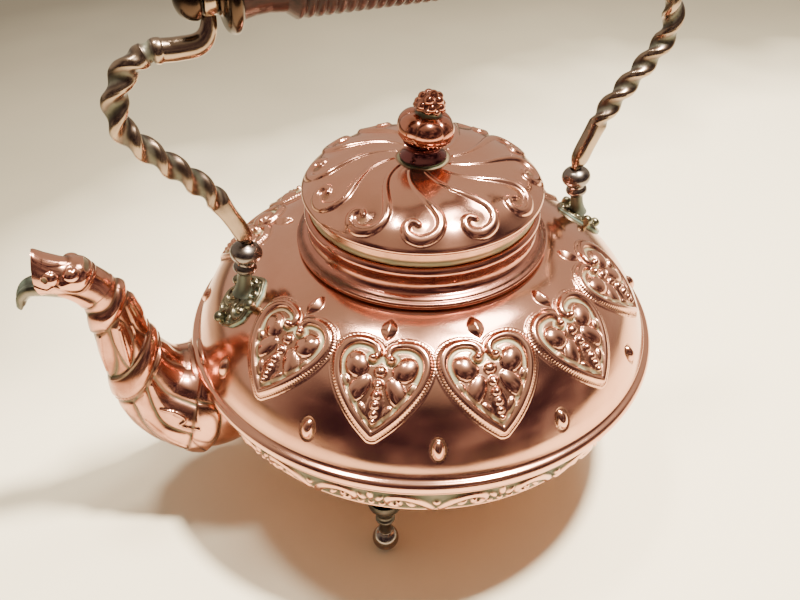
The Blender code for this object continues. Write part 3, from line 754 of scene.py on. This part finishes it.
def make_knob():
    spool = [(2.8, 89.2), (9.4, 89), (10, 89.3), (10.1, 89.9), (9.6, 90.7), (8.2, 92), (7.3, 93.4),
             (7.2, 95), (7.9, 96.3), (8.2, 96.8), (2.8, 96.9)]
    turned("knob_spool_turned", spool, SPOOL_METAL, "lid", ["knob_spool"], 96, 0.3,
           lambda line: 0.9 * (1 - step(line[:, 1], 89.2, 90.6)))

    bulb = [(2.8, 97), (5.6, 97), (8.8, 98), (11, 100.3), (11.6, 102.8), (11, 105.4), (9, 107.6),
            (5.8, 108.8), (4.8, 109.6), (4.4, 111), (2.8, 111.4)]
    line = curve(bulb[::-1], 0.22)
    angle = turns(240)[None, :]
    z = line[:, 1][:, None] + 0 * angle
    crease = np.abs(np.sin(3 * angle + 0.6))
    petals = 0.75 * crease**0.5 * step(z, 99, 102) * (1 - step(z, 108, 110))
    edge = 101.2 - 1.6 * np.abs(np.sin(4 * angle))
    veins = 0.18 * np.cos(32 * angle) * (z < edge - 0.4)
    cup = np.where(z < edge, 0.7, 0) * step(z, 97.2, 98)
    h = petals * (z > edge) + cup + veins * step(z, 97.4, 98.4)
    marks = (z > 100) * (1 - crease) ** 3 * 0.25 + 0.9 * step(z, 108.3, 109.4)
    skin("knob_bulb_petals", leaned(revolve(line, turns(240), h)), RED_COPPER, "lid", ["knob_bulb"],
         recess=marks)

    core = [(0.3, 118.2), (3, 117.6), (5, 115.9), (5.8, 113.8), (6.6, 112.4), (6.2, 111.5), (4.8, 111),
            (4.3, 109.4)]
    line = curve(core, 0.3)
    angle = turns(96)[None, :]
    frill = 0.5 * np.cos(9 * angle) * bump((line[:, 1][:, None] - 112.2) / 1.2, 1)
    skin("knob_berry_core", leaned(revolve(line, turns(96), frill)), RED_COPPER, "lid",
         ["knob_finial"], recess=0.35)
    points, faces = [], []
    spots = [(0.4, -0.3, 117.4, 2.3)]
    spots += [(3.5 * math.cos(a), 3.5 * math.sin(a), 116.1, 2.2) for a in turns(5) + 0.3]
    spots += [(4.7 * math.cos(a), 4.7 * math.sin(a), 113.4, 2.1) for a in turns(7)]
    for x, y, z, r in spots:
        first = len(points)
        for b in np.linspace(0, math.pi, BERRY_ROWS + 1):
            wide = r * math.sin(b)
            for a in turns(BERRY_COLUMNS):
                points.append((x + wide * math.cos(a), y + wide * math.sin(a), z + r * math.cos(b)))
        for row in range(first, first + BERRY_ROWS * BERRY_COLUMNS, BERRY_COLUMNS):
            for k in range(BERRY_COLUMNS):
                a, b = row + k, row + (k + 1) % BERRY_COLUMNS
                faces.append((a, a + BERRY_COLUMNS, b + BERRY_COLUMNS, b))
    mesh_piece("knob_berries", leaned(np.array(points)), faces, RED_COPPER, "lid", ["knob_finial"],
               np.zeros(len(points)))


# Handle --------------------------------------------------------------------------------------------


def shell_frame(radius, azimuth):
    """A place on the shell and the direction out of it. Azimuth is in degrees."""
    line = curve(SHELL[:9], 0.2)
    i = int(np.argmin(np.abs(line[:, 0] - radius)))
    out = outward(line)[i]
    a = math.radians(azimuth)
    around = np.array([math.cos(a), math.sin(a), 0])
    return (around * line[i, 0] + np.array([0, 0, line[i, 1]]),
            around * out[0] + np.array([0, 0, out[1]]))


def plate_relief(s, t):
    """Two volutes under a central leaf, with a rim. t is positive towards the kettle's rim."""
    s = np.abs(s)
    turn = np.linspace(0, 2.7 * math.pi, 80)
    grow = 0.6 + 0.52 * turn
    volute = np.stack([5.6 + grow * np.cos(turn + 0.6), 1.8 + grow * np.sin(turn + 0.6)], axis=1)
    distance, _ = near(volute, s, t)
    h = bump(distance / 1.15, 1.9)
    lower = np.stack([4.4 + (0.4 + 0.4 * turn) * np.cos(-turn),
                      -6.6 + (0.4 + 0.4 * turn) * np.sin(-turn)], axis=1)
    distance, _ = near(lower, s, t)
    h = np.maximum(h, bump(distance / 0.95, 1.7))
    h = np.maximum(h, almond(s, t, (0, 5.2), 2.2, 6.2, 1.9))
    h = np.maximum(h, almond(s, t, (0, -8), 1.4, 4.4, 1.6))
    h = np.maximum(h, oval(s, t, (5.6, 1.8), 1.2, 1.2, 1.7))
    h = np.maximum(h, oval(s, t, (3.2, 9.4), 1.3, 2.4, 1.2, -30))
    return 0.65 * np.maximum(h, oval(s, t, (8.8, -2.8), 1.3, 2.4, 1.2, 50))


def make_plate(end, side):
    """A cast plate, its rivets and its bar's ball. side is 1 by the spout, and -1 behind."""
    line = curve(SHELL[:9], 0.2)
    run = runs(line)
    middle = np.interp(PLATE_R, line[:, 0], run)
    psi = turns(220)[None, :]
    rho = np.concatenate([np.linspace(0.01, 0.96, 66), np.linspace(0.965, 1.0, 5), np.ones(5)])[:, None]
    outline = 12.4 + 1.3 * np.cos(2 * psi) + 0.35 * np.cos(6 * psi) + 0.2 * np.cos(10 * psi)
    s, t = rho * outline * np.sin(psi), rho * outline * np.cos(psi)
    h = 0.9 + plate_relief(s, t) * (1 - step(rho, 0.84, 0.9)) + bump((rho - 0.92) / 0.07, 0.9)
    down = np.concatenate([np.zeros(66), np.linspace(0, 0.4, 5), np.linspace(0.6, 1.9, 5)])[:, None]
    h = h - down
    where = middle + t
    radius = np.interp(where, run, line[:, 0])
    height = np.interp(where, run, line[:, 1])
    normal = outward(line)
    nr, nz = np.interp(where, run, normal[:, 0]), np.interp(where, run, normal[:, 1])
    a = (math.pi if side > 0 else 0.0) + s / PLATE_R
    r = radius + nr * h
    grid = np.stack([r * np.cos(a), r * np.sin(a), height + nz * h], axis=-1)
    marks = np.clip(0.8 * hollows(h, 3, 0.4) + 0.6 * step(rho, 0.93, 1.0) + 0.3 * (h < 1.1), 0, 1)
    # The verdigris is real, but its extra strength on the -Y half of each plate is a painted cyan
    # highlight.
    marks = np.clip(marks * (0.3 + 0.5 * step(s * side, -8, 8)), 0, 1)
    skin(f"{end}_plate_cast", yawed(grid), CAST_BRASS, "kettle_body", [f"{end}_plate"],
         recess=marks)

    azimuth = 180 if side > 0 else 0
    for where, (radius, turn) in {"outer": (94, 0), "left": (83, 6.4 * side),
                                  "right": (83, -6.4 * side)}.items():
        at, out = shell_frame(radius, azimuth + turn)
        profile = [(0.2, 5.2), (1.2, 5.0), (2.1, 4.3), (2.4, 3.2), (2.2, 1.5), (1.3, -2), (2.3, -2.2),
                   (2.2, -3), (0.2, -3.2)]
        turned(f"{end}_{where}_rivet_head", profile, CAST_BRASS, "kettle_body",
               [f"{end}_{where}_rivet"], 32, 0.3, lambda line: 0.3 + 0 * line[:, 0],
               lambda points, at=at, out=out: yawed(aimed(points, at, out)))

    foot, ball = np.array([-84.8 * side, 0, 38]), np.array([-80.6 * side, 0, 61])
    at = np.linalg.norm(ball - foot)
    arc = [(6.8 * math.cos(b), at + 4.9 * math.sin(b)) for b in np.radians(np.linspace(60, -54, 12))]
    profile = [(2.6, at + 4.9), *arc, (3.8, at - 5.4), (4.6, at - 6.2), (5, at - 7.2), (4.8, at - 8.4),
               (3.4, at - 9.8), (3, at - 11.4), (3, at - 15), (3.6, at - 18.4), (4.6, at - 21)]
    turned(f"{end}_ball_turned", profile, PEWTER, "kettle_body", [f"{end}_ball_collar"],
           72, 0.35, lambda line: 0.7 * (1 - step(line[:, 1], at - 12, at - 5)),
           lambda points: yawed(aimed(points, foot, ball - foot)))


def make_arm(end, side):
    """A handle bar with its twist and eye, and the nut and ferrule at its end of the grip."""
    t = np.linspace(2.2, len(ARM) - 1, 560)
    here = spline(ARM, t)
    along = np.gradient(here[:, :2], axis=0)
    run = runs(here[:, :2])
    along /= np.linalg.norm(along, axis=1, keepdims=True)
    twisted = (step(t, TWIST_FROM - 0.5, TWIST_FROM + 0.4)
               * (1 - step(t, TWIST_TO - 0.1, TWIST_TO + 0.35)))
    in_twist = (t[:-1] > TWIST_FROM) & (t[:-1] < TWIST_TO + 0.3)
    progress = np.concatenate([[0], np.cumsum(np.diff(run) * in_twist)])
    turn = (side * 2 * math.pi * progress / TWIST_PITCH)[:, None]
    angle = turns(56)[None, :]
    facet = (1 - step(t, TWIST_FROM - 0.4, TWIST_FROM + 0.6))[:, None]
    wide = (here[:, 2] - 0.35 * facet[:, 0] + 0.95 * twisted)[:, None]
    thin = (here[:, 2] - 0.35 * facet[:, 0] - 0.75 * twisted)[:, None]
    power = 2 + 1.1 * facet + 0.5 * twisted[:, None]
    scale = (np.abs(np.cos(angle)) ** power + np.abs(np.sin(angle)) ** power) ** (-1 / power)
    groove = 1 - 0.16 * bump((t - NECK_GROOVE) / 0.12, 1)[:, None]
    groove = groove + 0.1 * bump((t - NECK_BEAD) / 0.14, 1)[:, None]
    a, b = wide * np.cos(angle) * scale * groove, thin * np.sin(angle) * scale * groove
    u, v = a * np.cos(turn) - b * np.sin(turn), a * np.sin(turn) + b * np.cos(turn)
    grid = np.stack([-side * (here[:, :1] - along[:, 1:] * u), v, here[:, 1:2] + along[:, :1] * u],
                    axis=-1)
    waist = 1 - np.clip(np.hypot(u, v) / (here[:, 2] + 1.1)[:, None], 0, 1)
    marks = np.clip(twisted[:, None] * waist * 1.9 + bump((t - NECK_GROOVE) / 0.2, 0.8)[:, None], 0, 1)
    skin(f"{end}_arm_bar", yawed(grid), BAR_METAL, "kettle_body", [f"{end}_arm"],
         recess=marks)

    def on_rod(points):
        return yawed(aimed(points, (0, 0, GRIP_HEIGHT), (-side, 0, 0)))

    eye = [(2.4, 79.1), (6, 79.1), (6.8, 79.8), (7, 81.6), (6.8, 83.4), (6, 84.1), (2.4, 84.1)]
    turned(f"{end}_eye", eye[::-1], BAR_METAL, "kettle_body", [f"{end}_arm"], 56, 0.3,
           place=on_rod)
    nut = [(0.2, 93.4), (2.8, 93.1), (5.4, 91.9), (7.2, 89.8), (8, 87.4), (7.7, 85.6), (6.4, 84.7),
           (2.4, 84.6)]
    turned(f"{end}_ball_nut_turned", nut, BRONZE, "kettle_body", [f"{end}_ball_nut"],
           72, 0.3, place=on_rod)
    ferrule = [(2.4, 78.8), (6.8, 78.7), (7.6, 77.8), (8.6, 77.4), (12.2, 76.8), (13.8, 75.6),
               (14.2, 74), (13.6, 72.6), (11.4, 71.6), (2.4, 71.5)]
    turned(f"{end}_ferrule_turned", ferrule, BRONZE, "kettle_body", [f"{end}_ferrule"],
           96, 0.35, place=on_rod)


def make_grip():
    """The ridged wooden barrel between the ferrules."""
    along = np.linspace(GRIP_HALF, -GRIP_HALF, 760)
    neck = np.interp(np.abs(along), [0, 52, 55.5, 61, 66, GRIP_HALF], [12.6, 11.9, 9.2, 8.6, 8.9, 10])
    ridge = np.abs(np.sin(math.pi * along / 3.8)) ** 0.7
    fade = 1 - step(np.abs(along), 51.4, 52.6)
    line = np.stack([neck - fade * (1.15 - 1.15 * ridge) + 0.2 * fade, along], axis=1)
    line = np.concatenate([[(2.4, GRIP_HALF)], line, [(2.4, -GRIP_HALF)]])
    grid = yawed(aimed(revolve(line, turns(72)), (0, 0, GRIP_HEIGHT), (1, 0, 0)))
    skin("grip_barrel_ridged", grid, WOOD, "kettle_body", ["grip_barrel"])


# Light and camera ----------------------------------------------------------------------------------


def make_stage():
    """A pale floor in metres, with painted shade that darkens it away from the light and behind."""
    mesh = bpy.data.meshes.new("floor")
    x, y = np.meshgrid(np.linspace(-2.5, 2.5, 61), np.linspace(-0.55, 2.5, 61))
    points = np.stack([x, y, 0 * x], axis=-1).reshape(-1, 3)
    faces = quads(np.arange(x.size).reshape(x.shape))
    mesh.from_pydata(points.tolist(), [], faces.tolist())
    made, tree, shader = new_finish("floor_cloth")
    place = tree.nodes.new("ShaderNodeTexCoord").outputs["Object"]
    away = tree.nodes.new("ShaderNodeVectorMath")
    away.operation = "DISTANCE"
    feed(tree, away.inputs[0], place)
    feed(tree, away.inputs[1], (0.4, -0.15, 0))
    depth = node(tree, "ShaderNodeSeparateXYZ", Vector=place).outputs["Y"]
    # Painted shade: the colour falls off with distance from a spot near the key light and towards the
    # back.
    far = maths(tree, "ADD", maths(tree, "MULTIPLY", away.outputs["Value"], 0.5),
                maths(tree, "MULTIPLY", depth, 0.6))
    # Painted shade of folds in the cloth, which makes that falloff uneven.
    painted_fold_shade = maths(tree, "MULTIPLY", maths(tree, "SUBTRACT", noise(tree, 3.2, 3), 0.5), 0.3)
    shade = ramp(tree, maths(tree, "ADD", far, painted_fold_shade), (0.36, (0.9, 0.83, 0.64)),
                 (0.56, (0.28, 0.255, 0.19)), (0.76, (0.2, 0.18, 0.135)),
                 (1.0, (0.115, 0.102, 0.078)))
    tree.links.new(shade, shader.inputs["Base Color"])
    shader.inputs["Roughness"].default_value = 0.75
    shader.inputs["Specular IOR Level"].default_value = 0.2
    mesh.materials.append(made)
    floor = bpy.data.objects.new("floor", mesh)
    bpy.context.scene.collection.objects.link(floor)


def lamp(name, location, target, size, watts, colour):
    """A round area light that points at its target."""
    data = bpy.data.lights.new(name, "AREA")
    data.shape, data.size = "DISK", size
    data.energy, data.color = watts, colour
    made = bpy.data.objects.new(name, data)
    made.location = location
    made.rotation_euler = (Vector(target) - Vector(location)).to_track_quat("-Z", "Y").to_euler()
    bpy.context.scene.collection.objects.link(made)


def make_light():
    """Three lamps, and a room for the copper to mirror: dark in front, pale behind and overhead."""
    lamp("key", (0.27, -0.1, 1.1), (0.02, 0, 0.05), 0.12, 52, (1, 0.9, 0.75))
    lamp("second", (-0.2, 0.18, 1.25), (0.02, 0, 0.05), 0.18, 12, (1, 0.91, 0.77))
    lamp("panel", (0.52, 0.24, 1.35), (0.02, 0, 0.1), 0.36, 9, (1, 0.92, 0.8))
    world = bpy.data.worlds.new("room")
    world.use_nodes = True
    tree = world.node_tree
    towards = tree.nodes.new("ShaderNodeTexCoord").outputs["Generated"]
    facing = node(tree, "ShaderNodeSeparateXYZ", Vector=towards)
    things = node(tree, "ShaderNodeTexNoise", Vector=towards, Scale=3.2)
    front = ramp(tree, things.outputs["Fac"], (0.4, (0.06, 0.028, 0.042)),
                 (0.55, (0.2, 0.12, 0.12)), (0.66, (0.6, 0.46, 0.38)))
    depth = maths(tree, "ADD", maths(tree, "MULTIPLY", facing.outputs["Y"], 0.5), 0.5)
    walls = blended(tree, ramp(tree, depth, (0.36, 0.0), (0.62, 1.0)), front, (0.95, 0.8, 0.64))
    overhead = ramp(tree, facing.outputs["Z"], (0.66, 0.0), (0.9, 1.0))
    colour = blended(tree, overhead, walls, (0.7, 0.58, 0.44))
    seen = tree.nodes.new("ShaderNodeLightPath").outputs["Is Camera Ray"]
    colour = blended(tree, seen, colour, (1.6, 1.48, 1.22))
    backdrop = tree.nodes["Background"]
    tree.links.new(colour, backdrop.inputs["Color"])
    backdrop.inputs["Strength"].default_value = 0.7
    bpy.context.scene.world = world


def make_camera():
    data = bpy.data.cameras.new("camera")
    data.lens, data.sensor_width = 37.35, 36
    camera = bpy.data.objects.new("camera", data)
    camera.location = (AXIS[0] - 0.1059, -0.2973, 0.3406)
    camera.rotation_euler = (math.radians(51.36), 0, math.radians(-17.82))
    data.clip_start = 0.01
    bpy.context.scene.collection.objects.link(camera)
    bpy.context.scene.camera = camera


make_camera()
make_shell()
make_bowl()
make_collar()
make_feet()
make_spout()
make_lid()
make_knob()
for end, side in (("front", 1), ("rear", -1)):
    make_plate(end, side)
    make_arm(end, side)
make_grip()
for name, finish in (("tie_rod", BAR_METAL), ("knob_stud", PEWTER), ("knob_washer", PEWTER),
                     ("knob_nut", PEWTER)):
    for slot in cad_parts[name].material_slots:
        slot.material = finish
make_stage()
make_light()
